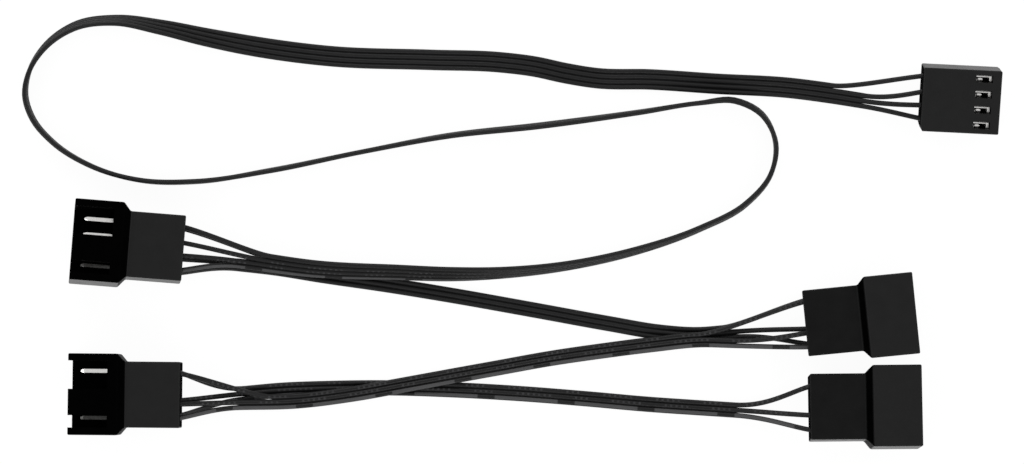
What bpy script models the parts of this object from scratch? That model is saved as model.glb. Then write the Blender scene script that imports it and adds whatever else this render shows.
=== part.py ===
"""Fan splitter cable: one four-way plug, then four header sockets in a chain, joined by flat
ribbons of bonded wires. It lies on a table as it would be photographed from above.

Units are metres and Z is up. Each connector is built about the middle of its mating face: local
+X points out of the mating end, the four ways run along Y from speed control to ground, and +Z is
a socket's keyed side or a plug's windowed side.
"""
import math

import bpy
from mathutils import Euler, Matrix, Vector

# The four ways, in order along each connector's local Y
WAY_PITCH = 0.00254
WAYS = ("control", "sense", "power", "ground")

# Header socket housing
SHROUD_LENGTH = 0.0079
SHROUD_WIDTH = 0.0132
SHROUD_HEIGHT = 0.0077
STEP_LENGTH = 0.00115
REAR_LENGTH = 0.00895
REAR_WIDTH = 0.0107
REAR_HEIGHT = 0.0054
SHROUD_SIDE_WALL = 0.00115
SHROUD_FLAT_WALL = 0.0009
CAVITY_DEPTH = 0.00635
TONGUE_WIDTH = 0.00425
TONGUE_WAY = 2
NARROW_SLOT_WIDTH = 0.0020

# Plug housing
PLUG_LENGTH = 0.0127
PLUG_WIDTH = 0.01045
PLUG_HEIGHT = 0.0052
RIB_LENGTH = 0.0090
RIB_WIDTH = 0.0009
RIB_HEIGHT = 0.0006
RIB_SETBACK = 0.0005
RIB_CLEARANCE = 0.00025
WINDOW_LENGTH = 0.0027
WINDOW_WIDTH = 0.0012
WINDOW_SETBACK = 0.0015
ENTRY_WIDTH = 0.0010
PLUG_FRONT_WALL = 0.0009

# The plug's two cut corners: reach along x and y at the front beside the ground way, and at the rear
# beside the control way
FRONT_CORNER_CUT = (0.00033, 0.0002)
REAR_CORNER_CUT = (0.00035, 0.0009)

# Terminal channels, one in each way of every housing
CHANNEL_WIDTH = 0.0020
CHANNEL_HEIGHT = 0.0024
PIN_HOLE_WALL = 0.00165
PIN_HOLE_CLEARANCE = 0.0003
EDGE_ROUND = 0.0002
EDGE_SEGMENTS = 2
SHARP_ANGLE = math.radians(30)
CUT_OVERSHOOT = 0.0010

# Terminals
PIN_WIDTH = 0.00064
PIN_SETBACK = 0.0017
PIN_POINT = 0.0005
TERMINAL_CLEARANCE = 0.0003
TERMINAL_BODY_LENGTH = 0.0042
CONTACT_BOX_LENGTH = 0.0050
CONTACT_BORE_CLEARANCE = 0.00008
CONTACT_BORE_DEPTH = 0.0042
CRIMP_LENGTH = 0.0026
CRIMP_SHEET = 0.00022
CRIMP_NECK = 0.0008
CRIMP_NECK_WIDTH = 0.0009

# Wires and ribbons
WIRE_DIAMETER = 0.00078
RIBBON_PITCH = 0.00086
CRIMP_GAP = 0.0003
STACK_GAP = 0.00005
SAMPLE_STEP = 0.0062
LEG_SAMPLES = 6
LEG_LEAVING = 0.42
PEEL_LEAVING = 0.2
LEG_ARRIVING = 0.25
LEG_LEAN = 0.35
TUBE_RESOLUTION = 2

# Plain looks: colour, roughness and metallic
NYLON = ((0.018, 0.018, 0.019), 0.45, 0.0)
TIN = ((0.62, 0.61, 0.58), 0.28, 1.0)
INSULATION = ((0.016, 0.016, 0.017), 0.4, 0.0)

# Where each connector lies: x, y of its mating face, then yaw, roll and pitch in degrees
PLUG_PLACE = (0.07555, 0.02529, -2.8, 10.5, 0.0)
HEADER_PLACES = {
    "header_1": (-0.07494, 0.00251, 175.4, 6.9, 6.5),
    "header_2": (0.06198, -0.00907, 5.8, -0.9, 5.5),
    "header_3": (-0.07539, -0.02235, 179.5, 2.3, 0.0),
    "header_4": (0.06265, -0.02442, 0.5, -6.8, 0.0),
}
UPSIDE_DOWN = ("header_2", "header_4")
NO_SENSE_PIN = ("header_2", "header_3", "header_4")

# Each ribbon's middle line: x, y, roll in degrees and lift above the table. The roll turns the
# direction from the control wire to the ground wire, from level and left of travel through upright.
ROUTE_1 = (
    (0.0535, 0.0258, 180, 0.0012),
    (0.0486, 0.0266, 180, 0.0005),
    (0.0418, 0.0275, 180, 0.0001),
    (0.0296, 0.0282, 180, 0.0),
    (0.0189, 0.0289, 180, 0.0),
    (0.0103, 0.0291, 180, 0.0),
    (0.0052, 0.0299, 180, 0.0),
    (0.0001, 0.0310, 180, 0.0),
    (-0.0056, 0.0317, 180, 0.0),
    (-0.0170, 0.0321, 180, 0.0),
    (-0.0333, 0.0327, 181, 0.0),
    (-0.0432, 0.0339, 185, 0.0),
    (-0.0537, 0.0358, 208, 0.0),
    (-0.0610, 0.0374, 226, 0.0),
    (-0.0683, 0.0385, 243, 0.0),
    (-0.0745, 0.0377, 248, 0.0),
    (-0.0795, 0.0345, 255, 0.0),
    (-0.0823, 0.0303, 263, 0.0),
    (-0.0830, 0.0263, 269, 0.0),
    (-0.0817, 0.0223, 271, 0.0),
    (-0.0786, 0.0187, 271, 0.0),
    (-0.0722, 0.0147, 270, 0.0),
    (-0.0642, 0.0124, 269, 0.0),
    (-0.0552, 0.0122, 269, 0.0),
    (-0.0430, 0.0140, 274, 0.0),
    (-0.0283, 0.0170, 272, 0.0),
    (-0.0137, 0.0197, 276, 0.0),
    (0.0009, 0.0213, 279, 0.0),
    (0.0172, 0.0235, 275, 0.0),
    (0.0270, 0.0250, 272, 0.0),
    (0.0327, 0.0254, 279, 0.0),
    (0.0371, 0.0232, 279, 0.0),
    (0.0394, 0.0184, 272, 0.0),
    (0.0386, 0.0134, 274, 0.0),
    (0.0345, 0.0085, 277, 0.0),
    (0.0270, 0.0045, 278, 0.0),
    (0.0166, 0.0009, 284, 0.0),
    (0.0050, -0.0016, 289, 0.0),
    (-0.0056, -0.0027, 298, 0.0002),
    (-0.0136, -0.0029, 308, 0.0007),
    (-0.0223, -0.0026, 313, 0.0009),
    (-0.0349, -0.0021, 322, 0.0010),
    (-0.0479, -0.0004, 335, 0.0019),
)
ROUTE_2 = (
    (-0.0483, -0.0012, 180, 0.0009),
    (-0.0423, -0.0019, 180, 0.0002),
    (-0.0348, -0.0031, 180, 0.0),
    (-0.0238, -0.0047, 180, 0.0),
    (-0.0128, -0.0065, 180, 0.0),
    (0.0001, -0.0088, 180, 0.0),
    (0.0122, -0.0110, 180, 0.0),
    (0.0206, -0.0124, 180, 0.0),
    (0.0263, -0.0128, 180, 0.0001),
    (0.0328, -0.0123, 180, 0.0007),
)
ROUTE_3 = (
    (0.0327, -0.0137, 0, 0.0020),
    (0.0271, -0.0136, 0, 0.0012),
    (0.0192, -0.0144, 0, 0.0009),
    (0.0114, -0.0154, 0, 0.0006),
    (0.0026, -0.0167, 0, 0.0),
    (-0.0058, -0.0182, 0, 0.0003),
    (-0.0131, -0.0195, 0, 0.0008),
    (-0.0208, -0.0209, 0, 0.0009),
    (-0.0298, -0.0225, 0, 0.0009),
    (-0.0388, -0.0236, 0, 0.0009),
    (-0.0480, -0.0238, 0, 0.0018),
)
ROUTE_4 = (
    (-0.0472, -0.0224, 180, 0.0006),
    (-0.0415, -0.0219, 180, 0.0001),
    (-0.0338, -0.0216, 180, 0.0),
    (-0.0233, -0.0215, 180, 0.0),
    (-0.0137, -0.0218, 180, 0.0),
    (-0.0028, -0.0224, 180, 0.0),
    (0.0087, -0.0233, 180, 0.0),
    (0.0189, -0.0242, 180, 0.0),
    (0.0263, -0.0247, 180, 0.0001),
    (0.0328, -0.0251, 180, 0.0006),
)

# Each ribbon: its ends, its route, on which side of a shared crimp its wires lie at each end (1 above
# and 1 towards ground), and how far back from each end of the ribbon some wires peel away
RIBBONS = {
    "cable_1": {
        "ends": ("plug", "header_1"),
        "route": ROUTE_1,
        "stacking": ((0, 0), (1, -1)),
        "peels": {"ground": (0.0052, 0.0), "control": (0.0, 0.0050), "sense": (0.0, 0.0030)},
    },
    "cable_2": {
        "ends": ("header_1", "header_2"),
        "route": ROUTE_2,
        "stacking": ((-1, 1), (-1, -1)),
        "peels": {"control": (0.0090, 0.0020)},
    },
    "cable_3": {
        "ends": ("header_2", "header_3"),
        "route": ROUTE_3,
        "stacking": ((1, 1), (1, 1)),
        "peels": {"control": (0.0060, 0.0055)},
    },
    "cable_4": {
        "ends": ("header_3", "header_4"),
        "route": ROUTE_4,
        "stacking": ((-1, -1), (0, 0)),
        "peels": {},
    },
}

# How far to one side two wires in one crimp lean, as a share of lying side by side
LEAN = {"control": 0.25, "sense": 0.0, "power": 0.65, "ground": 0.4}


def clear_scene():
    for scene_object in list(bpy.data.objects):
        bpy.data.objects.remove(scene_object, do_unlink=True)


def new_collection(name, hidden=False):
    collection = bpy.data.collections.new(name)
    collection.hide_render = hidden
    bpy.context.scene.collection.children.link(collection)
    return collection


def make_material(name, look):
    colour, roughness, metallic = look
    material = bpy.data.materials.new(name)
    material.use_nodes = True
    shader = material.node_tree.nodes["Principled BSDF"]
    shader.inputs["Base Color"].default_value = (*colour, 1.0)
    shader.inputs["Roughness"].default_value = roughness
    shader.inputs["Metallic"].default_value = metallic
    return material


def add_object(name, data, collection, parent=None, material=None):
    new_object = bpy.data.objects.new(name, data)
    collection.objects.link(new_object)
    new_object.parent = parent
    if material is not None:
        data.materials.clear()
        data.materials.append(material)
    return new_object


def way_y(way):
    """Where a way's middle lies along a connector's Y."""
    return (way - (len(WAYS) - 1) / 2) * WAY_PITCH


def lofted_mesh(name, sections):
    """A closed body along X. Each section is (x, profile), and each profile lists (y, z) anticlockwise."""
    count = len(sections[0][1])
    points = [(x, y, z) for x, profile in sections for y, z in profile]
    faces = [tuple(range(count))[::-1], tuple(range(len(points) - count, len(points)))]
    for first in range(0, len(points) - count, count):
        for corner in range(count):
            following = first + (corner + 1) % count
            faces.append((first + corner, following, following + count, first + corner + count))
    mesh = bpy.data.meshes.new(name)
    mesh.from_pydata(points, [], faces)
    return mesh


def rectangle(width, height):
    """The profile of a bar about the X axis."""
    y, z = width / 2, height / 2
    return ((-y, -z), (y, -z), (y, z), (-y, z))


def box_mesh(name, low, high):
    """A box between two corners."""
    profile = ((low[1], low[2]), (high[1], low[2]), (high[1], high[2]), (low[1], high[2]))
    return lofted_mesh(name, ((low[0], profile), (high[0], profile)))


def add_box(name, low, high, collection):
    return add_object(name, box_mesh(name, low, high), collection)


def add_cutter(name, low, high, cutters):
    cutter = add_box(name, low, high, cutters)
    cutter.hide_render = True
    cutter.display_type = "WIRE"
    return cutter


def use_boolean(body, other, operation):
    modifier = body.modifiers.new(other.name, "BOOLEAN")
    modifier.operation = operation
    modifier.object = other
    modifier.solver = "EXACT"


def round_edges(body):
    modifier = body.modifiers.new("rounded edges", "BEVEL")
    modifier.width = EDGE_ROUND
    modifier.segments = EDGE_SEGMENTS
    modifier.limit_method = "ANGLE"
    modifier.angle_limit = SHARP_ANGLE


def finished_mesh(name, body, helpers=()):
    """The mesh that an object and its modifiers make. The object and its helpers are removed."""
    bpy.context.view_layer.update()
    graph = bpy.context.evaluated_depsgraph_get()
    mesh = bpy.data.meshes.new_from_object(body.evaluated_get(graph))
    mesh.name = name
    for helper in (body, *helpers):
        bpy.data.objects.remove(helper, do_unlink=True)
    mesh.shade_smooth()
    mesh.set_sharp_from_angle(angle=SHARP_ANGLE)
    return mesh


def header_length():
    return SHROUD_LENGTH + STEP_LENGTH + REAR_LENGTH


def header_housing_mesh(parts, cutters):
    """A socket housing: open shroud, stepped down to a narrower rear, keyed on its +Z wall."""
    reach = header_length()
    rear = rectangle(REAR_WIDTH, REAR_HEIGHT)
    shroud = rectangle(SHROUD_WIDTH, SHROUD_HEIGHT)
    step_rear = -SHROUD_LENGTH - STEP_LENGTH
    sections = ((-reach, rear), (step_rear, rear), (-SHROUD_LENGTH, shroud), (0.0, shroud))
    body = add_object("header_blank", lofted_mesh("header_blank", sections), parts)
    round_edges(body)
    inner_side = SHROUD_WIDTH / 2 - SHROUD_SIDE_WALL
    inner_flat = SHROUD_HEIGHT / 2 - SHROUD_FLAT_WALL
    tongue_low = way_y(TONGUE_WAY) - TONGUE_WIDTH / 2
    tongue_high = way_y(TONGUE_WAY) + TONGUE_WIDTH / 2
    mouth = CUT_OVERSHOOT
    slot_top = SHROUD_HEIGHT / 2 + CUT_OVERSHOOT
    slots = {
        "cut_header_cavity": ((-CAVITY_DEPTH, -inner_side, -inner_flat), (mouth, inner_side, inner_flat)),
        "cut_header_wide_slot": ((-CAVITY_DEPTH, -inner_side, 0.0), (mouth, tongue_low, slot_top)),
        "cut_header_narrow_slot": (
            (-CAVITY_DEPTH, tongue_high, 0.0),
            (mouth, tongue_high + NARROW_SLOT_WIDTH, slot_top),
        ),
    }
    for name, (low, high) in slots.items():
        use_boolean(body, add_cutter(name, low, high, cutters), "DIFFERENCE")
    channel_front = -CAVITY_DEPTH - PIN_HOLE_WALL
    hole = PIN_WIDTH / 2 + PIN_HOLE_CLEARANCE
    for way in range(len(WAYS)):
        y = way_y(way)
        channel = add_cutter(
            f"cut_header_channel_{way + 1}",
            (-reach - CUT_OVERSHOOT, y - CHANNEL_WIDTH / 2, -CHANNEL_HEIGHT / 2),
            (channel_front, y + CHANNEL_WIDTH / 2, CHANNEL_HEIGHT / 2),
            cutters,
        )
        pin_hole = add_cutter(
            f"cut_header_pin_hole_{way + 1}",
            (channel_front - CUT_OVERSHOOT, y - hole, -hole),
            (-CAVITY_DEPTH + CUT_OVERSHOOT, y + hole, hole),
            cutters,
        )
        use_boolean(body, channel, "DIFFERENCE")
        use_boolean(body, pin_hole, "DIFFERENCE")
    return finished_mesh("header_housing", body)


def plug_rib_places():
    """Where the two ribs run along Y, one on each side of a socket's tongue."""
    reach = TONGUE_WIDTH / 2 + RIB_CLEARANCE + RIB_WIDTH / 2
    return [way_y(TONGUE_WAY) + side * reach for side in (-1, 1)]


def plug_housing_mesh(parts, cutters):
    """The plug housing: a block with four windows above, four ways through and two ribs below."""
    block = rectangle(PLUG_WIDTH, PLUG_HEIGHT)
    blank = lofted_mesh("plug_blank", ((-PLUG_LENGTH, block), (0.0, block)))
    body = add_object("plug_blank", blank, parts)
    round_edges(body)
    ribs = []
    for number, y in enumerate(plug_rib_places()):
        rib = add_box(
            f"plug_rib_{number + 1}",
            (-RIB_SETBACK - RIB_LENGTH, y - RIB_WIDTH / 2, -PLUG_HEIGHT / 2 - RIB_HEIGHT),
            (-RIB_SETBACK, y + RIB_WIDTH / 2, -PLUG_HEIGHT / 2 + RIB_HEIGHT),
            parts,
        )
        use_boolean(body, rib, "UNION")
        ribs.append(rib)
    corners = {
        "cut_plug_front_corner": (0.0, PLUG_WIDTH / 2, FRONT_CORNER_CUT, 0.0),
        "cut_plug_rear_corner": (-PLUG_LENGTH, -PLUG_WIDTH / 2, REAR_CORNER_CUT, math.pi),
    }
    for name, (x, y, (x_cut, y_cut), turn) in corners.items():
        depth = x_cut * y_cut / math.hypot(x_cut, y_cut)
        low = (-depth, -PLUG_HEIGHT, -PLUG_HEIGHT)
        corner = add_cutter(name, low, (PLUG_HEIGHT, PLUG_HEIGHT, PLUG_HEIGHT), cutters)
        corner.location = (x, y, 0.0)
        corner.rotation_euler = (0.0, 0.0, math.atan2(x_cut, y_cut) + turn)
        use_boolean(body, corner, "DIFFERENCE")
    for way in range(len(WAYS)):
        y = way_y(way)
        channel = add_cutter(
            f"cut_plug_channel_{way + 1}",
            (-PLUG_LENGTH - CUT_OVERSHOOT, y - CHANNEL_WIDTH / 2, -CHANNEL_HEIGHT / 2),
            (-PLUG_FRONT_WALL, y + CHANNEL_WIDTH / 2, CHANNEL_HEIGHT / 2),
            cutters,
        )
        entry = add_cutter(
            f"cut_plug_entry_{way + 1}",
            (-PLUG_FRONT_WALL - CUT_OVERSHOOT, y - ENTRY_WIDTH / 2, -ENTRY_WIDTH / 2),
            (CUT_OVERSHOOT, y + ENTRY_WIDTH / 2, ENTRY_WIDTH / 2),
            cutters,
        )
        window = add_cutter(
            f"cut_plug_window_{way + 1}",
            (-WINDOW_SETBACK - WINDOW_LENGTH, y - WINDOW_WIDTH / 2, 0.0),
            (-WINDOW_SETBACK, y + WINDOW_WIDTH / 2, PLUG_HEIGHT),
            cutters,
        )
        for cutter in (channel, entry, window):
            use_boolean(body, cutter, "DIFFERENCE")
    return finished_mesh("plug_housing", body, ribs)


def terminal_section():
    """Half the width and half the height of what slides in a channel."""
    return CHANNEL_WIDTH / 2 - TERMINAL_CLEARANCE, CHANNEL_HEIGHT / 2 - TERMINAL_CLEARANCE


def add_crimp(body, front, parts):
    """A neck and a U-shaped wire crimp behind a terminal's body, whose rear end is at front."""
    y, z = terminal_section()
    inner_y, floor = y - CRIMP_SHEET, -z + CRIMP_SHEET
    outside = ((-y, z), (-y, -z), (y, -z), (y, z))
    inside = ((inner_y, z), (inner_y, floor), (-inner_y, floor), (-inner_y, z))
    rear = front - CRIMP_NECK - CRIMP_LENGTH
    sections = ((rear, outside + inside), (rear + CRIMP_LENGTH, outside + inside))
    crimp = add_object("crimp", lofted_mesh("crimp", sections), parts)
    neck = add_box(
        "crimp_neck",
        (front - CRIMP_NECK - CRIMP_SHEET, -CRIMP_NECK_WIDTH / 2, -z),
        (front + CRIMP_SHEET, CRIMP_NECK_WIDTH / 2, floor),
        parts,
    )
    use_boolean(body, neck, "UNION")
    use_boolean(body, crimp, "UNION")
    return [neck, crimp]


def header_body_rear():
    return -CAVITY_DEPTH - PIN_HOLE_WALL - TERMINAL_CLEARANCE - TERMINAL_BODY_LENGTH


def header_pin_mesh(parts):
    """A socket's terminal: a square pin with a short point, a locking body and its crimp."""
    half_width, half_height = terminal_section()
    rear = header_body_rear()
    body = add_box(
        "pin_body",
        (rear, -half_width, -half_height),
        (rear + TERMINAL_BODY_LENGTH, half_width, half_height),
        parts,
    )
    square = rectangle(PIN_WIDTH, PIN_WIDTH)
    tip = rectangle(PIN_WIDTH / 2, PIN_WIDTH / 2)
    sections = (
        (rear + TERMINAL_BODY_LENGTH / 2, square),
        (-PIN_SETBACK - PIN_POINT, square),
        (-PIN_SETBACK, tip),
    )
    pin = add_object("pin_shank", lofted_mesh("pin_shank", sections), parts)
    use_boolean(body, pin, "UNION")
    return finished_mesh("header_pin", body, [pin, *add_crimp(body, rear, parts)])


def plug_body_rear():
    return -PLUG_FRONT_WALL - TERMINAL_CLEARANCE - CONTACT_BOX_LENGTH


def plug_contact_mesh(parts, cutters):
    """The plug's terminal: a box that takes a pin from the front, and its crimp."""
    half_width, half_height = terminal_section()
    rear = plug_body_rear()
    front = rear + CONTACT_BOX_LENGTH
    body = add_box("contact_box", (rear, -half_width, -half_height), (front, half_width, half_height), parts)
    crimp = add_crimp(body, rear, parts)
    bore = PIN_WIDTH / 2 + CONTACT_BORE_CLEARANCE
    cutter = add_cutter(
        "cut_contact_bore",
        (front - CONTACT_BORE_DEPTH, -bore, -bore),
        (front + CUT_OVERSHOOT, bore, bore),
        cutters,
    )
    use_boolean(body, cutter, "DIFFERENCE")
    return finished_mesh("plug_contact", body, crimp)


def place_connector(name, place, meshes, upside_down, collection):
    """An empty that carries one connector, lowered or raised until the connector rests on the table."""
    x, y, yaw, roll, pitch = place
    turn = Euler((math.radians(roll), math.radians(-pitch), math.radians(yaw)), "XYZ").to_matrix()
    if upside_down:
        turn = turn @ Matrix.Rotation(math.pi, 3, "X")
    lowest = min((turn @ vertex.co).z for mesh in meshes for vertex in mesh.vertices)
    holder = bpy.data.objects.new(name, None)
    holder.empty_display_size = WAY_PITCH
    holder.matrix_world = Matrix.Translation((x, y, -lowest)) @ turn.to_4x4()
    collection.objects.link(holder)
    return holder


def crimp_entry(way, body_rear, above, towards_ground):
    """Where a wire's end meets its crimp: both sides are 0 for a wire alone in its crimp."""
    lean = LEAN[WAYS[way]]
    spread = (WIRE_DIAMETER + STACK_GAP) / 2
    x = body_rear - CRIMP_NECK - CRIMP_LENGTH - CRIMP_GAP
    y = way_y(way) + towards_ground * spread * lean
    return Vector((x, y, above * spread * math.sqrt(1 - lean * lean)))


def smooth_track(stations, step):
    """Samples of a smooth curve through the stations: (point with roll, heading) for each."""
    points = [Vector(station) for station in stations]
    gaps = [(b.xy - a.xy).length for a, b in zip(points, points[1:])]
    chords = [(b - a) / gap for a, b, gap in zip(points, points[1:], gaps)]
    slopes = [chords[0]]
    for before, after, gap, next_gap in zip(chords, chords[1:], gaps, gaps[1:]):
        slopes.append((before * next_gap + after * gap) / (gap + next_gap))
    slopes.append(chords[-1])
    samples = [(points[0], slopes[0].xy.normalized())]
    for start, end, slope, end_slope, gap in zip(points, points[1:], slopes, slopes[1:], gaps):
        count = max(1, round(gap / step))
        for index in range(1, count + 1):
            t = index / count
            bend = start * (2 * t**3 - 3 * t**2 + 1) + end * (3 * t**2 - 2 * t**3)
            bend += slope * gap * (t**3 - 2 * t**2 + t) + end_slope * gap * (t**3 - t**2)
            heading = start * (6 * t**2 - 6 * t) + end * (6 * t - 6 * t**2)
            heading += slope * gap * (3 * t**2 - 4 * t + 1) + end_slope * gap * (3 * t**2 - 2 * t)
            samples.append((bend, heading.xy.normalized()))
    return samples


def ribbon_wires(route, count):
    """The wires of a ribbon: for each sample along it, the list of its wires' centres."""
    rows = []
    for (x, y, roll, lift), heading in smooth_track(route, SAMPLE_STEP):
        angle = math.radians(roll)
        across = Vector((-heading.y * math.cos(angle), heading.x * math.cos(angle), math.sin(angle)))
        half = (count - 1) / 2 * RIBBON_PITCH
        height = WIRE_DIAMETER / 2 + max(lift, 0.0) + half * abs(math.sin(angle))
        middle = Vector((x, y, height))
        rows.append([middle + across * (index * RIBBON_PITCH - half) for index in range(count)])
    return rows


def leg_points(start, away, leaving, end, axis):
    """Samples of a wire's free leg, which leaves its ribbon along away and ends in a crimp along axis.
    A larger leaving share keeps it longer on the ribbon's line."""
    span = end - start
    arrival = axis.lerp(span.normalized(), LEG_LEAN).normalized()
    leave = start + away.normalized() * span.length * leaving
    approach = end - arrival * span.length * LEG_ARRIVING
    points = []
    for index in range(1, LEG_SAMPLES + 1):
        t = index / LEG_SAMPLES
        s = 1 - t
        points.append(start * s**3 + leave * 3 * s * s * t + approach * 3 * s * t * t + end * t**3)
    return points


def trimmed(track, distance):
    """The track without the stretch of this length at its end."""
    kept = list(track)
    while distance > (kept[-1] - kept[-2]).length:
        distance -= (kept[-1] - kept[-2]).length
        kept.pop()
    kept[-1] = kept[-1] - (kept[-1] - kept[-2]).normalized() * distance
    return kept


def wire_path(track, ends, peel):
    """A wire from crimp to crimp. Each end is its crimp point and the direction into the crimp."""
    track = trimmed(trimmed(track, peel[1])[::-1], peel[0])[::-1]
    leaving = [PEEL_LEAVING if length else LEG_LEAVING for length in peel]
    first = leg_points(track[0], track[0] - track[1], leaving[0], *ends[0])
    last = leg_points(track[-1], track[-1] - track[-2], leaving[1], *ends[1])
    return first[::-1] + track + last


def add_tube(name, points, material, collection):
    curve = bpy.data.curves.new(name, "CURVE")
    curve.dimensions = "3D"
    curve.bevel_depth = WIRE_DIAMETER / 2
    curve.bevel_resolution = TUBE_RESOLUTION
    curve.use_fill_caps = True
    spline = curve.splines.new("POLY")
    spline.points.add(len(points) - 1)
    for spline_point, point in zip(spline.points, points):
        spline_point.co = (*point, 1.0)
    return add_object(name, curve, collection, material=material)


def build_connectors(parts, cutters):
    """Every housing and terminal. Returns each connector's empty and where its terminals' bodies end."""
    nylon = make_material("black nylon", NYLON)
    tin = make_material("tinned brass", TIN)
    header_housing = header_housing_mesh(parts, cutters)
    header_pin = header_pin_mesh(parts)
    plug_housing = plug_housing_mesh(parts, cutters)
    plug_contact = plug_contact_mesh(parts, cutters)
    holder = place_connector("plug", PLUG_PLACE, [plug_housing], False, parts)
    holders = {"plug": (holder, plug_body_rear())}
    add_object("plug_housing", plug_housing, parts, holder, nylon)
    for way, way_name in enumerate(WAYS):
        contact = add_object(f"plug_contact_{way_name}", plug_contact, parts, holder, tin)
        contact.location.y = way_y(way)
    for name, place in HEADER_PLACES.items():
        holder = place_connector(name, place, [header_housing], name in UPSIDE_DOWN, parts)
        holders[name] = (holder, header_body_rear())
        add_object(f"{name}_housing", header_housing, parts, holder, nylon)
        for way, way_name in enumerate(WAYS):
            if way_name == "sense" and name in NO_SENSE_PIN:
                continue
            pin = add_object(f"{name}_pin_{way_name}", header_pin, parts, holder, tin)
            pin.location.y = way_y(way)
    bpy.context.view_layer.update()
    return holders


def build_ribbons(holders, parts):
    """Every wire of every ribbon, from crimp to crimp."""
    insulation = make_material("black insulation", INSULATION)
    into_crimp = Vector((1, 0, 0))
    for ribbon, facts in RIBBONS.items():
        short = any(connector in NO_SENSE_PIN for connector in facts["ends"])
        names = [way_name for way_name in WAYS if not (short and way_name == "sense")]
        rows = ribbon_wires(facts["route"], len(names))
        for index, way_name in enumerate(names):
            ends = []
            for connector, (above, towards_ground) in zip(facts["ends"], facts["stacking"]):
                holder, body_rear = holders[connector]
                if way_name == "sense":
                    above = towards_ground = 0
                if connector in UPSIDE_DOWN:
                    above = -above
                crimp = crimp_entry(WAYS.index(way_name), body_rear, above, towards_ground)
                turned = holder.matrix_world.to_3x3() @ into_crimp
                ends.append((holder.matrix_world @ crimp, turned))
            peel = facts["peels"].get(way_name, (0.0, 0.0))
            path = wire_path([row[index] for row in rows], ends, peel)
            add_tube(f"{ribbon}_wire_{way_name}", path, insulation, parts)


def main():
    clear_scene()
    parts = new_collection("fan_splitter_cable")
    cutters = new_collection("cutters", hidden=True)
    build_ribbons(build_connectors(parts, cutters), parts)


main()
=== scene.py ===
import math

import bmesh
import bpy
from mathutils import Euler, Matrix, Vector


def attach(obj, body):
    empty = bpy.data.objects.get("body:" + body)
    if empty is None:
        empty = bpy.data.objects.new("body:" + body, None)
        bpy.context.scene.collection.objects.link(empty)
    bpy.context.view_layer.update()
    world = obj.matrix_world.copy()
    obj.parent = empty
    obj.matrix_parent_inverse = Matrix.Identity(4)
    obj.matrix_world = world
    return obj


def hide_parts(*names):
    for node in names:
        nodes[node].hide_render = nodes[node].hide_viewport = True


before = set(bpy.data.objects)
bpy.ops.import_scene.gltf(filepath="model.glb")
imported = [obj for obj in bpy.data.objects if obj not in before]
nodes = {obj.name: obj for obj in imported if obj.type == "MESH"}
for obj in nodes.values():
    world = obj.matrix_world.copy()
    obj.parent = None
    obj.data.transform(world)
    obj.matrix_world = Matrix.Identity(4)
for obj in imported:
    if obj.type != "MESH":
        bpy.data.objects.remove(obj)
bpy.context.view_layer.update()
print("frame loaded:", len(nodes), "CAD nodes")


# camera: straight above the table, as the photo shows it
cameraSetup = {
    "place": (-0.00362, 0.00397, 0.650),
    "viewWidth": 0.16742,  # what fits across the picture on the table, metres
    "sensor": 36.0,
}


def addCamera(setup):
    data = bpy.data.cameras.new("overheadCamera")
    data.sensor_width = setup["sensor"]
    data.lens = setup["sensor"] * setup["place"][2] / setup["viewWidth"]
    data.clip_start = 0.01
    data.clip_end = 20.0
    camera = bpy.data.objects.new("overheadCamera", data)
    camera.location = setup["place"]
    bpy.context.scene.collection.objects.link(camera)
    bpy.context.scene.camera = camera


addCamera(cameraSetup)


# shader maths: a Signal is one socket on a Sheet of nodes, and sums on signals add Math nodes
class Signal:
    def __init__(self, sheet, socket):
        self.sheet = sheet
        self.socket = socket

    def sum(self, operation, first, second=0.0):
        return self.sheet.node("Math", {"operation": operation}, {0: first, 1: second})

    def __add__(self, other):
        return self.sum("ADD", self, other)

    __radd__ = __add__

    def __sub__(self, other):
        return self.sum("SUBTRACT", self, other)

    def __rsub__(self, other):
        return self.sum("SUBTRACT", other, self)

    def __mul__(self, other):
        return self.sum("MULTIPLY", self, other)

    __rmul__ = __mul__

    def larger(self, other):
        return self.sum("MAXIMUM", self, other)

    def size(self):
        return self.sum("ABSOLUTE", self)

    def between(self, low, high):  # 0 at low, 1 at high, smooth between
        spans = {"Value": self, "From Min": low, "From Max": high}
        return self.sheet.node("MapRange", {"interpolation_type": "SMOOTHSTEP"}, spans)

    def along(self, direction):  # how far a point lies along a direction
        return self.sheet.node("VectorMath", {"operation": "DOT_PRODUCT"}, {0: self, 1: direction}, "Value")

    def tint(self, dark, light):  # a colour from dark to light as the signal goes from 0 to 1
        colours = {"Factor": self, "A": (*dark, 1.0), "B": (*light, 1.0)}
        return self.sheet.node("Mix", {"data_type": "RGBA"}, colours, "Result")


class Sheet:
    def __init__(self, tree):
        self.tree = tree
        self.tree.nodes.clear()

    def socketOf(self, sockets, name):
        if isinstance(name, int):
            return sockets[name]
        return next(s for s in sockets if s.name == name and s.enabled)

    def node(self, kind, settings=None, inputs=None, output=0):
        made = self.tree.nodes.new("ShaderNode" + kind)
        for name, value in (settings or {}).items():
            setattr(made, name, value)
        for name, value in (inputs or {}).items():
            socket = self.socketOf(made.inputs, name)
            if isinstance(value, Signal):
                self.tree.links.new(value.socket, socket)
            else:
                socket.default_value = value
        return Signal(self, self.socketOf(made.outputs, output)) if made.outputs else None

    def noise(self, coords, size, detail=3.0, roughness=0.5):
        facts = {"Vector": coords, "Scale": 1.0 / size, "Detail": detail, "Roughness": roughness}
        return self.node("TexNoise", {}, facts)

    def bump(self, height, distance):
        return self.node("Bump", {}, {"Height": height, "Distance": distance, "Strength": 1.0})


def newMaterial(name):
    material = bpy.data.materials.new(name)
    material.use_nodes = True
    return material, Sheet(material.node_tree)


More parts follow.
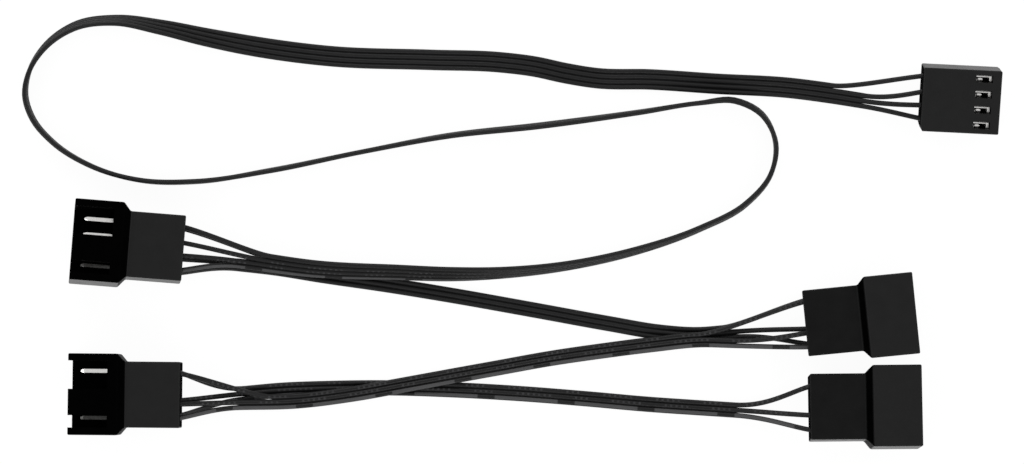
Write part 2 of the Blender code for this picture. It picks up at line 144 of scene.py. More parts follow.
# connectors: the middle of each mating face and how it is turned, as in the CAD
connectorPlaces = {
    "plug": {"at": (0.07555, 0.02529, 0.003512), "yaw": -2.8, "roll": 10.5, "pitch": 0.0},
    "header_1": {"at": (-0.07494, 0.00251, 0.005433), "yaw": 175.4, "roll": 6.9, "pitch": 6.5},
    "header_2": {"at": (0.06198, -0.00907, 0.004670), "yaw": 5.8, "roll": -0.9, "pitch": 5.5},
    "header_3": {"at": (-0.07539, -0.02235, 0.004104), "yaw": 179.5, "roll": 2.3, "pitch": 0.0},
    "header_4": {"at": (0.06265, -0.02442, 0.004580), "yaw": 0.5, "roll": -6.8, "pitch": 0.0},
}
upsideDown = ("header_2", "header_4")
noSensePin = ("header_2", "header_3", "header_4")
ways = {"control": -0.00381, "sense": -0.00127, "power": 0.00127, "ground": 0.00381}


def connectorFrame(name):
    place = connectorPlaces[name]
    angles = (math.radians(place["roll"]), math.radians(-place["pitch"]), math.radians(place["yaw"]))
    turn = Euler(angles, "XYZ").to_matrix()
    if name in upsideDown:
        turn = turn @ Matrix.Rotation(math.pi, 3, "X")
    return Matrix.Translation(place["at"]) @ turn.to_4x4()


connectorFrames = {name: connectorFrame(name) for name in connectorPlaces}


# wires: four flat ribbons of bonded wires that split into single wires at each connector
wireShape = {
    "radius": 0.00040,
    "bondReach": 0.000433,  # out to where the web meets the next wire's
    "tornReach": 0.000412,  # the ridge that is left of the web on a free wire
    "webHalf": 0.00014,  # half the web's thickness
    "pitch": 0.00086,
    "sides": 20,
    "step": 0.0009,
    "legSteps": 22,
    "legLeaving": 0.42,
    "peelLeaving": 0.2,
    "legArriving": 0.25,
    "legLean": 0.35,
    "sharpAngle": 50,
    "markMargin": 0.0001,  # no mark starts or ends this close to a wire's end
    "ringGap": 0.00008,
    "crimpSpread": 0.000415,
    "crimpPlace": {"plug": -0.0099, "header": -0.0162},  # where a wire's end meets its crimp
    "exitPlace": {"plug": -0.0127, "header": -0.0180},  # the rear face of the housing
    "lean": {"control": 0.25, "sense": 0.0, "power": 0.65, "ground": 0.4},
}

# each ribbon: x, y, roll and lift of its middle line, then the facts of its ends as in the CAD
ribbons = {
    "cable_1": {
        "ends": ("plug", "header_1"),
        "stacking": ((0, 0), (1, -1)),
        "peels": {"ground": (0.0052, 0.0), "control": (0.0, 0.0050), "sense": (0.0, 0.0030)},
        "printSide": 1,
        "dashAtX": -0.04432,
        "printed": ("sense", "power"),
        "route": (
            (0.0535, 0.0258, 180, 0.0012),
            (0.0486, 0.0266, 180, 0.0005),
            (0.0418, 0.0275, 180, 0.0001),
            (0.0296, 0.0282, 180, 0.0),
            (0.0189, 0.0289, 180, 0.0),
            (0.0103, 0.0291, 180, 0.0),
            (0.0052, 0.0299, 180, 0.0),
            (0.0001, 0.0310, 180, 0.0),
            (-0.0056, 0.0317, 180, 0.0),
            (-0.0170, 0.0321, 180, 0.0),
            (-0.0333, 0.0327, 181, 0.0),
            (-0.0432, 0.0339, 185, 0.0),
            (-0.0537, 0.0358, 208, 0.0),
            (-0.0610, 0.0374, 226, 0.0),
            (-0.0683, 0.0385, 243, 0.0),
            (-0.0745, 0.0377, 248, 0.0),
            (-0.0795, 0.0345, 255, 0.0),
            (-0.0823, 0.0303, 263, 0.0),
            (-0.0830, 0.0263, 269, 0.0),
            (-0.0817, 0.0223, 271, 0.0),
            (-0.0786, 0.0187, 271, 0.0),
            (-0.0722, 0.0147, 270, 0.0),
            (-0.0642, 0.0124, 269, 0.0),
            (-0.0552, 0.0122, 269, 0.0),
            (-0.0430, 0.0140, 274, 0.0),
            (-0.0283, 0.0170, 272, 0.0),
            (-0.0137, 0.0197, 276, 0.0),
            (0.0009, 0.0213, 279, 0.0),
            (0.0172, 0.0235, 275, 0.0),
            (0.0270, 0.0250, 272, 0.0),
            (0.0327, 0.0254, 279, 0.0),
            (0.0371, 0.0232, 279, 0.0),
            (0.0394, 0.0184, 272, 0.0),
            (0.0386, 0.0134, 274, 0.0),
            (0.0345, 0.0085, 277, 0.0),
            (0.0270, 0.0045, 278, 0.0),
            (0.0166, 0.0009, 284, 0.0),
            (0.0050, -0.0016, 289, 0.0),
            (-0.0056, -0.0027, 298, 0.0002),
            (-0.0136, -0.0029, 308, 0.0007),
            (-0.0223, -0.0026, 313, 0.0009),
            (-0.0349, -0.0021, 322, 0.0010),
            (-0.0479, -0.0004, 335, 0.0019),
        ),
    },
    "cable_2": {
        "ends": ("header_1", "header_2"),
        "stacking": ((-1, 1), (-1, -1)),
        "peels": {"control": (0.0090, 0.0020)},
        "printSide": 1,
        "dashAtX": -0.02,
        "printed": ("control", "power"),
        "route": (
            (-0.0483, -0.0012, 180, 0.0009),
            (-0.0423, -0.0019, 180, 0.0002),
            (-0.0348, -0.0031, 180, 0.0),
            (-0.0238, -0.0047, 180, 0.0),
            (-0.0128, -0.0065, 180, 0.0),
            (0.0001, -0.0088, 180, 0.0),
            (0.0122, -0.0110, 180, 0.0),
            (0.0206, -0.0124, 180, 0.0),
            (0.0263, -0.0128, 180, 0.0001),
            (0.0328, -0.0123, 180, 0.0007),
        ),
    },
    "cable_3": {
        "ends": ("header_2", "header_3"),
        "stacking": ((1, 1), (1, 1)),
        "peels": {"control": (0.0060, 0.0055)},
        "printSide": 1,
        "dashAtX": -0.01026,
        "printed": ("control", "power"),
        "route": (
            (0.0327, -0.0137, 0, 0.0020),
            (0.0271, -0.0136, 0, 0.0012),
            (0.0192, -0.0144, 0, 0.0009),
            (0.0114, -0.0154, 0, 0.0006),
            (0.0026, -0.0167, 0, 0.0),
            (-0.0058, -0.0182, 0, 0.0003),
            (-0.0131, -0.0195, 0, 0.0008),
            (-0.0208, -0.0209, 0, 0.0009),
            (-0.0298, -0.0225, 0, 0.0009),
            (-0.0388, -0.0236, 0, 0.0009),
            (-0.0480, -0.0238, 0, 0.0018),
        ),
    },
    "cable_4": {
        "ends": ("header_3", "header_4"),
        "stacking": ((-1, -1), (0, 0)),
        "peels": {},
        "printSide": -1,
        "dashAtX": -0.00646,
        "printed": ("control", "power"),
        "route": (
            (-0.0472, -0.0224, 180, 0.0006),
            (-0.0415, -0.0219, 180, 0.0001),
            (-0.0338, -0.0216, 180, 0.0),
            (-0.0233, -0.0215, 180, 0.0),
            (-0.0137, -0.0218, 180, 0.0),
            (-0.0028, -0.0224, 180, 0.0),
            (0.0087, -0.0233, 180, 0.0),
            (0.0189, -0.0242, 180, 0.0),
            (0.0263, -0.0247, 180, 0.0001),
            (0.0328, -0.0251, 180, 0.0006),
        ),
    },
}

# marks on the wires' printed side
printMarks = {
    "dashLength": 0.0103,
    "dashPeriod": 0.0131,
    "dashSides": 5,
    "tickLength": 0.00034,
    "tickPeriod": 0.00088,
    "ticksInGroup": (5, 4, 7, 3, 6),
    "groupGap": 0.0034,
    "firstTick": 0.002,
    "tickStagger": 0.0011,  # from one printed wire to the next
    "tickSides": 3,
}


def smoothTrack(stations, step):
    points = [Vector(station) for station in stations]
    gaps = [(b.xy - a.xy).length for a, b in zip(points, points[1:])]
    chords = [(b - a) / gap for a, b, gap in zip(points, points[1:], gaps)]
    slopes = [chords[0]]
    for before, after, gap, nextGap in zip(chords, chords[1:], gaps, gaps[1:]):
        slopes.append((before * nextGap + after * gap) / (gap + nextGap))
    slopes.append(chords[-1])
    samples = [(points[0], slopes[0].xy.normalized())]
    for start, end, slope, endSlope, gap in zip(points, points[1:], slopes, slopes[1:], gaps):
        count = max(1, round(gap / step))
        for index in range(1, count + 1):
            t = index / count
            place = start * (2 * t**3 - 3 * t**2 + 1) + end * (3 * t**2 - 2 * t**3)
            place += slope * gap * (t**3 - 2 * t**2 + t) + endSlope * gap * (t**3 - t**2)
            heading = start * (6 * t**2 - 6 * t) + end * (6 * t - 6 * t**2)
            heading += slope * gap * (3 * t**2 - 4 * t + 1) + endSlope * gap * (3 * t**2 - 2 * t)
            samples.append((place, heading.xy.normalized()))
    return samples


def ribbonRows(route, count):  # for each sample: the wires' centres and the way across the ribbon
    rows = []
    for (x, y, roll, lift), heading in smoothTrack(route, wireShape["step"]):
        angle = math.radians(roll)
        across = Vector((-heading.y * math.cos(angle), heading.x * math.cos(angle), math.sin(angle)))
        half = (count - 1) / 2 * wireShape["pitch"]
        height = wireShape["radius"] + max(lift, 0.0) + half * abs(math.sin(angle))
        middle = Vector((x, y, height))
        centres = [middle + across * (index * wireShape["pitch"] - half) for index in range(count)]
        rows.append((centres, across))
    return rows


def legPoints(start, away, leaving, end, axis):
    span = end - start
    arrival = axis.lerp(span.normalized(), wireShape["legLean"]).normalized()
    leave = start + away.normalized() * span.length * leaving
    approach = end - arrival * span.length * wireShape["legArriving"]
    points = []
    for index in range(1, wireShape["legSteps"] + 1):
        t = index / wireShape["legSteps"]
        s = 1 - t
        points.append(start * s**3 + leave * 3 * s * s * t + approach * 3 * s * t * t + end * t**3)
    return points


def trimmed(track, distance):
    kept = list(track)
    while distance > (kept[-1][0] - kept[-2][0]).length:
        distance -= (kept[-1][0] - kept[-2][0]).length
        kept.pop()
    (last, across), before = kept[-1], kept[-2][0]
    kept[-1] = (last - (last - before).normalized() * distance, across)
    return kept


def crimpEnd(connector, wayName, above, towardsGround):  # a wire's last point and the way into its crimp
    kind = "plug" if connector == "plug" else "header"
    if wayName == "sense":
        above = towardsGround = 0
    if connector in upsideDown:
        above = -above
    lean = wireShape["lean"][wayName]
    spread = wireShape["crimpSpread"]
    y = ways[wayName] + towardsGround * spread * lean
    local = Vector((wireShape["crimpPlace"][kind], y, above * spread * math.sqrt(1 - lean * lean)))
    placed = connectorFrames[connector]
    return placed @ local, placed.to_3x3() @ Vector((1, 0, 0))


def wirePath(track, ends, peel):  # (point, across, bonded or not) from crimp to crimp
    track = trimmed(trimmed(track, peel[1])[::-1], peel[0])[::-1]
    leaving = [wireShape["peelLeaving"] if length else wireShape["legLeaving"] for length in peel]
    first = legPoints(track[0][0], track[0][0] - track[1][0], leaving[0], *ends[0])
    last = legPoints(track[-1][0], track[-1][0] - track[-2][0], leaving[1], *ends[1])
    path = [(point, track[0][1], False) for point in first[::-1]]
    path += [(point, across, True) for point, across in track]
    path += [(point, track[-1][1], False) for point in last]
    return path


def pathDistances(path):
    total = 0.0
    distances = [0.0]
    for before, after in zip(path, path[1:]):
        total += (after[0] - before[0]).length
        distances.append(total)
    return distances


def dashSpans(path, distances, dashAtX):  # stripes on the wire that marks the ribbon's edge
    start = 0.0
    for index in range(1, len(path)):
        a, b = path[index - 1][0].x, path[index][0].x
        if min(a, b) <= dashAtX < max(a, b):
            span = distances[index] - distances[index - 1]
            start = distances[index - 1] + span * (dashAtX - a) / (b - a)
    backwards = path[-1][0].x < path[0][0].x
    if backwards:  # the stated end of a dash is its left end, which comes last along this wire
        start -= printMarks["dashLength"]
    period = printMarks["dashPeriod"]
    first = start - math.floor(start / period) * period - period
    spans = []
    while first < distances[-1]:
        spans.append((first, first + printMarks["dashLength"]))
        first += period
    return spans


def tickSpans(total, offset):  # plain ticks in groups, where the real wire has small print
    spans = []
    place = offset
    group = 0
    while place < total:
        count = printMarks["ticksInGroup"][group % len(printMarks["ticksInGroup"])]
        for _ in range(count):
            spans.append((place, place + printMarks["tickLength"]))
            place += printMarks["tickPeriod"]
        place += printMarks["groupGap"]
        group += 1
    return [span for span in spans if span[1] < total]


def pointAt(path, distances, place, start):  # (point, across, bond) at a distance, looking from index start
    index = start
    while index < len(distances) - 2 and distances[index + 1] < place:
        index += 1
    span = distances[index + 1] - distances[index]
    t = min(max((place - distances[index]) / span, 0.0), 1.0)
    (a, acrossA, bondA), (b, acrossB, bondB) = path[index], path[index + 1]
    bond = (1 - t) * bondA + t * bondB
    return a.lerp(b, t), acrossA.lerp(acrossB, t).normalized(), bond, index


def ringPlaces(distances, spans):  # every sample and both ends of every mark, without near doubles
    low, high = wireShape["markMargin"], distances[-1] - wireShape["markMargin"]
    edges = sorted(edge for span in spans for edge in span if low < edge < high)
    places = sorted(set(distances) | set(edges))
    kept = [places[0]]
    for place in places[1:-1]:
        if place - kept[-1] > wireShape["ringGap"]:
            kept.append(place)
        elif place in edges:
            kept[-1] = place
    kept.append(places[-1])
    return kept


def ringPoints(centre, tangent, across, bond, neighbours):
    side = (across - tangent * tangent.dot(across)).normalized()
    up = tangent.cross(side)
    count = wireShape["sides"]
    points = []
    for index in range(count):
        angle = 2 * math.pi * index / count
        outwards = math.cos(angle) * wireShape["radius"]
        upwards = math.sin(angle) * wireShape["radius"]
        fromSide = min(index, count - index) if outwards > 0 else abs(index - count // 2)
        if fromSide < 2 and neighbours[0 if outwards < 0 else 1]:
            reach = wireShape["tornReach"] if fromSide == 0 else abs(outwards)
            reach += bond * (wireShape["bondReach"] - reach)
            outwards = math.copysign(reach, outwards)
            web = math.copysign(wireShape["webHalf"], upwards)
            upwards += bond * fromSide * (web - upwards)
        points.append(centre + side * outwards + up * upwards)
    return points


def wireMesh(name, path, neighbours, spans, printSide, markSides):
    distances = pathDistances(path)
    places = ringPlaces(distances, spans)
    sides = wireShape["sides"]
    rings = []
    index = 0
    for place in places:
        centre, across, bond, index = pointAt(path, distances, place, index)
        rings.append((place, centre, across, bond))
    vertices = []
    for number, (place, centre, across, bond) in enumerate(rings):
        before = rings[max(number - 1, 0)][1]
        after = rings[min(number + 1, len(rings) - 1)][1]
        vertices += ringPoints(centre, (after - before).normalized(), across, bond, neighbours)
    faces = []
    marked = []
    top = sides // 4 if printSide > 0 else sides - sides // 4
    markedSides = {(top + offset) % sides for offset in range(-(markSides // 2) - 1, markSides // 2)}
    spanNumber = 0
    for number in range(len(rings) - 1):
        middle = (rings[number][0] + rings[number + 1][0]) / 2
        while spanNumber < len(spans) and spans[spanNumber][1] < middle:
            spanNumber += 1
        inMark = spanNumber < len(spans) and spans[spanNumber][0] < middle
        for side in range(sides):
            a = number * sides + side
            b = number * sides + (side + 1) % sides
            faces.append((a, b, b + sides, a + sides))
            marked.append(1 if inMark and side in markedSides else 0)
    faces.append(tuple(range(sides))[::-1])
    faces.append(tuple(range(len(vertices) - sides, len(vertices))))
    marked += [0, 0]
    mesh = bpy.data.meshes.new(name)
    mesh.from_pydata([tuple(v) for v in vertices], [], faces)
    mesh.shade_smooth()
    mesh.polygons.foreach_set("material_index", marked)
    mesh.set_sharp_from_angle(angle=math.radians(wireShape["sharpAngle"]))
    return mesh


insulationTexture = {
    "scuffRange": (0.58, 0.72),
    "patchShare": 0.7,  # the rest of the colour's change is grain
    "patchRoughness": 0.16,
    "scuffRoughness": 0.10,
    "scuffHeight": 0.4,
}


def insulationMaterial(name, look):
    material, sheet = newMaterial(name)
    coords = sheet.node("TexCoord", {}, {}, "Object")
    patches = sheet.noise(coords, look["patchSize"], 2.0)
    grain = sheet.noise(coords, look["grainSize"], 3.0)
    scuffs = sheet.noise(coords, look["scuffSize"], 4.0, 0.7).between(*insulationTexture["scuffRange"])
    share = insulationTexture["patchShare"]
    colour = (patches * share + grain * (1 - share)).tint(look["dark"], look["light"])
    rough = look["roughness"] + (patches - 0.5) * insulationTexture["patchRoughness"]
    rough = rough + scuffs * insulationTexture["scuffRoughness"]
    facts = {
        "Base Color": colour,
        "Roughness": rough,
        "Specular IOR Level": look["specular"],
        "Normal": sheet.bump(grain + scuffs * insulationTexture["scuffHeight"], look["bump"]),
    }
    shader = sheet.node("BsdfPrincipled", {}, facts)
    sheet.node("OutputMaterial", {}, {"Surface": shader})
    return material


insulationLooks = {
    "wireInsulation": {
        "dark": (0.0034, 0.0034, 0.0036),
        "light": (0.0068, 0.0068, 0.0070),
        "roughness": 0.40,
        "specular": 0.16,
        "patchSize": 0.006,
        "grainSize": 0.00022,
        "scuffSize": 0.0011,
        "bump": 0.000008,
    },
    "stripeInk": {
        "dark": (0.030, 0.030, 0.031),
        "light": (0.050, 0.050, 0.051),
        "roughness": 0.48,
        "specular": 0.12,
        "patchSize": 0.003,
        "grainSize": 0.00018,
        "scuffSize": 0.0009,
        "bump": 0.000008,
    },
    "tickInk": {
        "dark": (0.010, 0.010, 0.011),
        "light": (0.034, 0.034, 0.035),
        "roughness": 0.5,
        "specular": 0.12,
        "patchSize": 0.0016,
        "grainSize": 0.00018,
        "scuffSize": 0.0009,
        "bump": 0.000006,
    },
}

insulations = {name: insulationMaterial(name, look) for name, look in insulationLooks.items()}


def exitPoint(path, connector):  # where a wire passes the rear face of its first housing
    kind = "plug" if connector == "plug" else "header"
    placed = connectorFrames[connector].inverted()
    for point, _, _ in path:
        if (placed @ point).x < wireShape["exitPlace"][kind]:
            return point
    return path[0][0]


def addWires(ribbon, facts):
    short = any(connector in noSensePin for connector in facts["ends"])
    names = [name for name in ways if not (short and name == "sense")]
    rows = ribbonRows(facts["route"], len(names))
    for index, wayName in enumerate(names):
        ends = [crimpEnd(c, wayName, *sides) for c, sides in zip(facts["ends"], facts["stacking"])]
        track = [(centres[index], across) for centres, across in rows]
        path = wirePath(track, ends, facts["peels"].get(wayName, (0.0, 0.0)))
        distances = pathDistances(path)
        spans, ink, markSides = [], "tickInk", printMarks["tickSides"]
        if wayName == "ground":
            spans = dashSpans(path, distances, facts["dashAtX"])
            ink, markSides = "stripeInk", printMarks["dashSides"]
        elif wayName in facts["printed"]:
            offset = printMarks["firstTick"] + printMarks["tickStagger"] * index
            spans = tickSpans(distances[-1], offset)
        neighbours = (index > 0, index < len(names) - 1)
        name = f"{ribbon}_{wayName}_insulation"
        mesh = wireMesh(name, path, neighbours, spans, facts["printSide"], markSides)
        wire = bpy.data.objects.new(name, mesh)
        bpy.context.scene.collection.objects.link(wire)
        mesh.materials.append(insulations["wireInsulation"])
        mesh.materials.append(insulations[ink])
        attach(wire, "root")
        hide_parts(f"{ribbon}_wire_{wayName}")
        exitAt = exitPoint(path, facts["ends"][0])


for ribbonName, ribbonFacts in ribbons.items():
    addWires(ribbonName, ribbonFacts)
print("wires made:", len([name for name in nodes if "_wire_" in name]))


# housings: moulded nylon, finely textured on the flat sides and polished on the side walls; the shroud, the
# side walls and the rear faces are painted darker, which is painted shade
nylonLooks = {
    "textured": {"dark": 0.0034, "light": 0.0066, "roughness": 0.50, "specular": 0.11},
    "plainRear": {"dark": 0.0022, "light": 0.0042, "roughness": 0.50, "specular": 0.06},
    # painted shade: the shroud, its step and its inside made nearly black, with reflection almost off
    "shroudShade": {"dark": 0.0001, "light": 0.0005, "roughness": 0.40, "specular": 0.004},
    # side walls: polished, so glossier, which is real; their much darker colour and weak reflection are
    # painted shade
    "polishedSideShade": {"dark": 0.0004, "light": 0.0012, "roughness": 0.28, "specular": 0.03},
    "plugSide": {"dark": 0.0034, "light": 0.0062, "roughness": 0.38, "specular": 0.16},
    # painted shade: faces turned to the rear made darker and without any reflection
    "rearFaceShade": {"dark": 0.0016, "light": 0.0036, "roughness": 0.75, "specular": 0.0},
}
nylonTexture = {
    "grainSize": 0.00016,
    "blotchSize": 0.0021,
    "grainDepth": 0.000012,
    "blotchDepth": 0.000004,
    "shroudStart": -0.00905,  # the step's rear edge, along a socket
    "plugSide": 0.0051,  # the plug's outer walls start here, off its middle
    "blend": 0.0001,
    "blotchShare": 0.6,  # the rest of the colour's change is grain
    "roughnessSpread": 0.12,
    "wallFacing": (0.80, 0.95),  # how squarely a face looks sideways or down to count as that wall
    "rearFacing": (0.90, 0.97),
}


def nylonMaterial(connector):
    facts = nylonTexture
    material, sheet = newMaterial(f"nylon_{connector}")
    coords = sheet.node("TexCoord", {}, {}, "Object")
    blotches = sheet.noise(coords, facts["blotchSize"], 3.0)
    grain = sheet.noise(coords, facts["grainSize"], 2.0, 0.6)
    grained = sheet.bump(grain, facts["grainDepth"])
    smooth = sheet.bump(blotches, facts["blotchDepth"])

    def shader(name, shade, bumps):
        look = nylonLooks[name]
        tint = shade.tint((look["dark"],) * 3, (look["light"],) * 3)
        rough = look["roughness"] + (shade - 0.5) * facts["roughnessSpread"]
        inputs = {"Base Color": tint, "Roughness": rough, "Normal": bumps}
        return sheet.node("BsdfPrincipled", {}, {**inputs, "Specular IOR Level": look["specular"]})

    placed = connectorFrames[connector]
    lengthwise, sideways, upwards = (placed.col[axis].xyz for axis in range(3))
    normal = sheet.node("NewGeometry", {}, {}, "Normal")
    sideWall = normal.along(tuple(sideways)).size().between(*facts["wallFacing"])
    # sideways faces get the polished walls with painted shade; faces turned to the rear get the painted
    # rear-face shade
    facesRear = normal.along(tuple(-lengthwise)).between(*facts["rearFacing"])
    share = facts["blotchShare"]
    surface = shader("textured", blotches * share + grain * (1 - share), grained)
    if connector == "plug":
        y = coords.along(tuple(sideways)) - placed.translation.dot(sideways)
        outside = y.size().between(facts["plugSide"] - facts["blend"], facts["plugSide"])
        layers = {"plugSide": sideWall * outside, "rearFaceShade": facesRear}
    else:
        x = coords.along(tuple(lengthwise)) - placed.translation.dot(lengthwise)
        inShroud = x.between(facts["shroudStart"] - facts["blend"], facts["shroudStart"])
        plainSide = normal.along(tuple(-upwards)).between(*facts["wallFacing"])
        layers = {
            "plainRear": plainSide * (1 - inShroud),
            "shroudShade": inShroud * (1 - plainSide),
            "polishedSideShade": sideWall,
            "rearFaceShade": facesRear,
        }
    for name, mask in layers.items():
        surface = sheet.node("MixShader", {}, {0: mask, 1: surface, 2: shader(name, blotches, smooth)})
    sheet.node("OutputMaterial", {}, {"Surface": surface})
    return material


def setMaterial(node, material):
    for place in range(len(nodes[node].material_slots)):
        nodes[node].material_slots[place].material = material


for connector in connectorPlaces:
    setMaterial(f"{connector}_housing", nylonMaterial(connector))
print("housings dressed")


# terminals: bright tin over pressed brass; the pins listed as shady get a dark tin, which is painted shade
tinLooks = {
    "brightTin": {"dark": (0.70, 0.69, 0.67), "light": (0.92, 0.91, 0.89), "roughness": 0.26},
    # painted shade: the same tin made dark for the pins that lie in shade
    "paintedShadeTin": {"dark": (0.03, 0.03, 0.029), "light": (0.11, 0.108, 0.104), "roughness": 0.42},
}
tinTexture = {"streakSize": 0.0005, "grainSize": 0.00009, "bump": 0.000003, "roughnessSpread": 0.2}


def tinMaterial(name):
    look = tinLooks[name]
    material, sheet = newMaterial(name)
    coords = sheet.node("TexCoord", {}, {}, "Object")
    streaks = sheet.noise(coords, tinTexture["streakSize"], 3.0)
    grain = sheet.noise(coords, tinTexture["grainSize"], 2.0)
    facts = {
        "Base Color": streaks.tint(look["dark"], look["light"]),
        "Metallic": 1.0,
        "Roughness": look["roughness"] + (grain - 0.5) * tinTexture["roughnessSpread"],
        "Normal": sheet.bump(grain, tinTexture["bump"]),
    }
    shader = sheet.node("BsdfPrincipled", {}, facts)
    sheet.node("OutputMaterial", {}, {"Surface": shader})
    return material


tins = {name: tinMaterial(name) for name in tinLooks}
pinShape = {
    "chamfer": 0.00010,
    "weld": 0.00001,  # joins the solid's corners, which come apart in three
    "shady": ("header_1_pin_ground", "header_3_pin_ground"),
}


def dressPin(nodeName):
    # the shady pins get the dark tin, painted shade
    setMaterial(nodeName, tins["paintedShadeTin" if nodeName in pinShape["shady"] else "brightTin"])
    joined = nodes[nodeName].modifiers.new("joined corners", "WELD")
    joined.merge_threshold = pinShape["weld"]
    chamfered = nodes[nodeName].modifiers.new("chamfered edges", "BEVEL")
    chamfered.width = pinShape["chamfer"]
    chamfered.segments = 1
    chamfered.limit_method = "ANGLE"
    chamfered.use_clamp_overlap = False


for nodeName in nodes:
    if "_pin_" in nodeName:
        dressPin(nodeName)

# what the plug's windows show of each contact: an opening in its top, a spring tongue and its dimple
contactDetail = {
    "opening": {"middle": (-0.002975, -0.00033, 0.0), "size": (0.00205, 0.00084, 0.0024)},
    "outside": {"middle": (-0.00290, 0.00050, 0.00090), "size": (0.0030, 0.00050, 0.00060)},
    "tongue": {"middle": (-0.00375, -0.00038, 0.00088), "size": (0.0011, 0.00030, 0.00024)},
    "dimple": {"middle": (-0.00345, -0.00030, 0.00102), "size": (0.0010, 0.00070, 0.00020)},
    "band": {"middle": (-0.00174, -0.00010, 0.00104), "size": (0.00042, 0.00084, 0.00040)},
    "edge": 0.00003,
    "crease": 20,
}
contactSteps = {
    "opening": "DIFFERENCE",
    "outside": "DIFFERENCE",
    "tongue": "UNION",
    "dimple": "UNION",
    "band": "UNION",
}


def addSolid(name, placed, middle, size, ball=False):
    grown = placed @ Matrix.Translation(middle) @ Matrix.Diagonal((*size, 1.0))
    shape = bmesh.new()
    if ball:
        bmesh.ops.create_uvsphere(shape, u_segments=28, v_segments=14, radius=0.5, matrix=grown)
    else:
        bmesh.ops.create_cube(shape, size=1.0, matrix=grown)
    mesh = bpy.data.meshes.new(name)
    shape.to_mesh(mesh)
    shape.free()
    solid = bpy.data.objects.new(name, mesh)
    bpy.context.scene.collection.objects.link(solid)
    return solid


def addContact(wayName):
    node = nodes[f"plug_contact_{wayName}"]
    placed = connectorFrames["plug"] @ Matrix.Translation((0.0, ways[wayName], 0.0))
    contact = bpy.data.objects.new(f"windowed_contact_{wayName}", node.data.copy())
    contact.matrix_world = node.matrix_world
    bpy.context.scene.collection.objects.link(contact)
    helpers = []
    for name, operation in contactSteps.items():
        helper = addSolid(name, placed, ball=name == "dimple", **contactDetail[name])
        cut = contact.modifiers.new(name, "BOOLEAN")
        cut.operation = operation
        cut.object = helper
        helpers.append(helper)
    soften = contact.modifiers.new("soft edges", "BEVEL")
    soften.width = contactDetail["edge"]
    soften.segments = 2
    bpy.context.view_layer.update()
    graph = bpy.context.evaluated_depsgraph_get()
    contact.data = bpy.data.meshes.new_from_object(contact.evaluated_get(graph))
    contact.modifiers.clear()
    for helper in helpers:
        bpy.data.objects.remove(helper)
    contact.data.shade_smooth()
    contact.data.set_sharp_from_angle(angle=math.radians(contactDetail["crease"]))
    contact.data.materials.clear()
    contact.data.materials.append(tins["brightTin"])
    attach(contact, "root")
    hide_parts(f"plug_contact_{wayName}")


for wayName in ways:
    addContact(wayName)
print("terminals dressed")


# studio: white table in a white light tent, with a low softbox on each of its four sides
studio = {
    "tableSize": 3.0,
    "tableDrop": 0.00002,  # how far the table lies below the wires
    "tableColour": (0.90, 0.90, 0.90),
    "fibreSize": 0.002,
    "fibreShade": 0.01,
    "cameraShare": 0.95,  # how much of the table the camera sees as plain white paper
    "worldHorizon": 0.85,
    "worldZenith": 0.75,
    "worldRise": (0.35, 0.92),  # where the horizon's level goes over into the zenith's
    "lampPower": 1.6,
    "lampSize": (0.5, 0.18),
    "lampDistance": 0.62,
    "lampElevation": 34.0,
    "lampAzimuths": (25.0, 115.0, 205.0, 295.0),
}


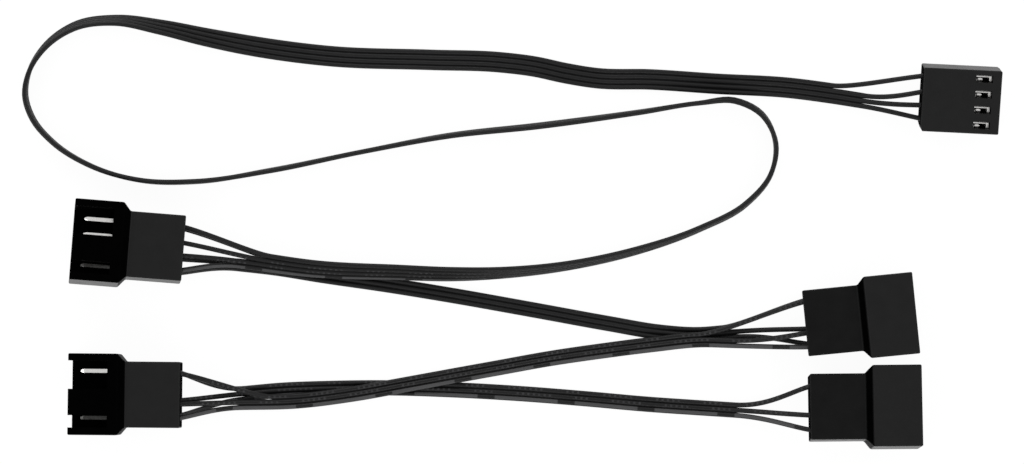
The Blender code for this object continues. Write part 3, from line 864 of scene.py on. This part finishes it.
def addTable(facts):
    half = facts["tableSize"] / 2
    corners = [(-half, -half, 0), (half, -half, 0), (half, half, 0), (-half, half, 0)]
    mesh = bpy.data.meshes.new("table")
    mesh.from_pydata(corners, [], [(0, 1, 2, 3)])
    table = bpy.data.objects.new("table", mesh)
    table.location.z = -facts["tableDrop"]
    bpy.context.scene.collection.objects.link(table)
    material, sheet = newMaterial("tablePaper")
    coords = sheet.node("TexCoord", {}, {}, "Object")
    fibres = sheet.noise(coords, facts["fibreSize"], 3.0)
    low = tuple(channel - facts["fibreShade"] for channel in facts["tableColour"])
    paper = sheet.node("BsdfDiffuse", {}, {"Color": fibres.tint(low, facts["tableColour"])})
    glow = sheet.node("Emission", {}, {"Color": (1.0, 1.0, 1.0, 1.0), "Strength": 1.0})
    seen = sheet.node("LightPath", {}, {}, "Is Camera Ray")
    mirrored = sheet.node("LightPath", {}, {}, "Is Glossy Ray")
    through = sheet.node("LightPath", {}, {}, "Is Transmission Ray")
    share = seen.larger(mirrored).larger(through) * facts["cameraShare"]
    surface = sheet.node("MixShader", {}, {0: share, 1: paper, 2: glow})
    sheet.node("OutputMaterial", {}, {"Surface": surface})
    mesh.materials.append(material)


def addWorld(facts):
    world = bpy.data.worlds.new("lightTent")
    world.use_nodes = True
    bpy.context.scene.world = world
    sheet = Sheet(world.node_tree)
    direction = sheet.node("TexCoord", {}, {}, "Generated")
    height = direction.along((0.0, 0.0, 1.0))
    level = height.between(*facts["worldRise"])
    strength = facts["worldHorizon"] + level * (facts["worldZenith"] - facts["worldHorizon"])
    tent = sheet.node("Background", {}, {"Color": (1.0, 1.0, 1.0, 1.0), "Strength": strength})
    white = sheet.node("Background", {}, {"Color": (1.0, 1.0, 1.0, 1.0), "Strength": 1.0})
    seen = sheet.node("LightPath", {}, {}, "Is Camera Ray")
    surface = sheet.node("MixShader", {}, {0: seen, 1: tent, 2: white})
    sheet.node("OutputWorld", {}, {"Surface": surface})


def addLamp(name, size, power, placed):
    data = bpy.data.lights.new(name, "AREA")
    data.shape = "RECTANGLE"
    data.size, data.size_y = size
    data.energy = power
    lamp = bpy.data.objects.new(name, data)
    lamp.matrix_world = placed
    bpy.context.scene.collection.objects.link(lamp)


def addLamps(facts):
    for number, azimuth in enumerate(facts["lampAzimuths"]):
        turn = Matrix.Rotation(math.radians(azimuth), 4, "Z")
        rise = math.radians(facts["lampElevation"])
        away = Vector((0.0, -math.cos(rise), math.sin(rise))) * facts["lampDistance"]
        placed = turn @ Matrix.Translation(away) @ Matrix.Rotation(math.pi / 2 - rise, 4, "X")
        addLamp(f"softbox{number + 1}", facts["lampSize"], facts["lampPower"], placed)


addTable(studio)
addWorld(studio)
addLamps(studio)
bpy.context.scene.view_settings.view_transform = "Standard"
print("studio set")
